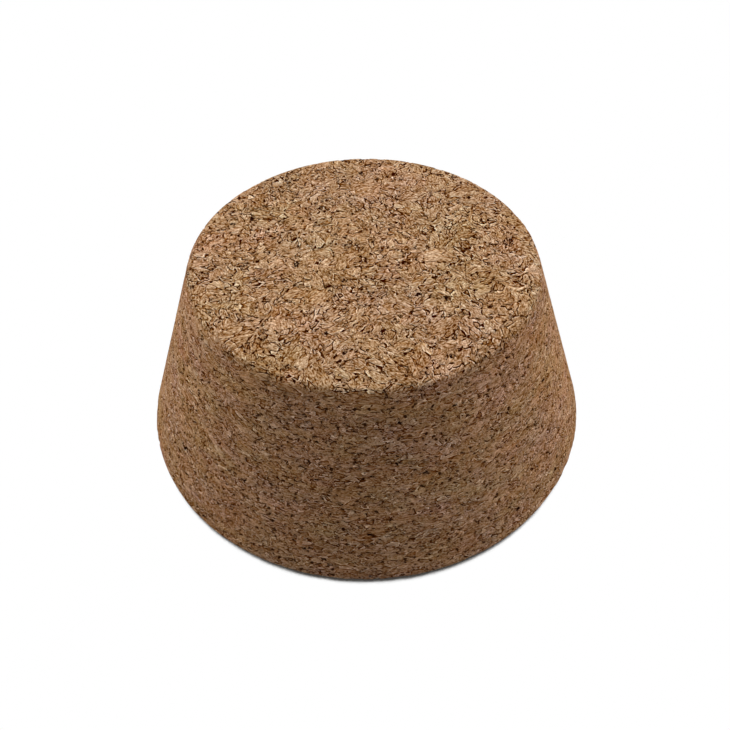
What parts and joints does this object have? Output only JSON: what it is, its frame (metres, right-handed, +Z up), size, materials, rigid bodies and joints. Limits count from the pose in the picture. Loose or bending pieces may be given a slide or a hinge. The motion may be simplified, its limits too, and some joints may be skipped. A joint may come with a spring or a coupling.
{
  "type": "cork stopper",
  "caption": "Round tapered stopper of agglomerated cork: a solid truncated cone with rounded rims, pushed narrow end first into a wide neck to close it.",
  "frame": {"origin": "centre of the wide end's flat face, on the axis", "axes": "+Z runs up the axis from the wide end to the narrow end; +X and +Y lie in the wide end's face, and the stopper is round about +Z"},
  "size_m": [0.0692, 0.0692, 0.03],
  "materials": {
    "cork": "matte pressed cork granules, tan to reddish brown, with fine dark gaps between them"
  },
  "bodies": {
    "root": {"cork_stopper": "cork"}
  },
  "joints": []
}
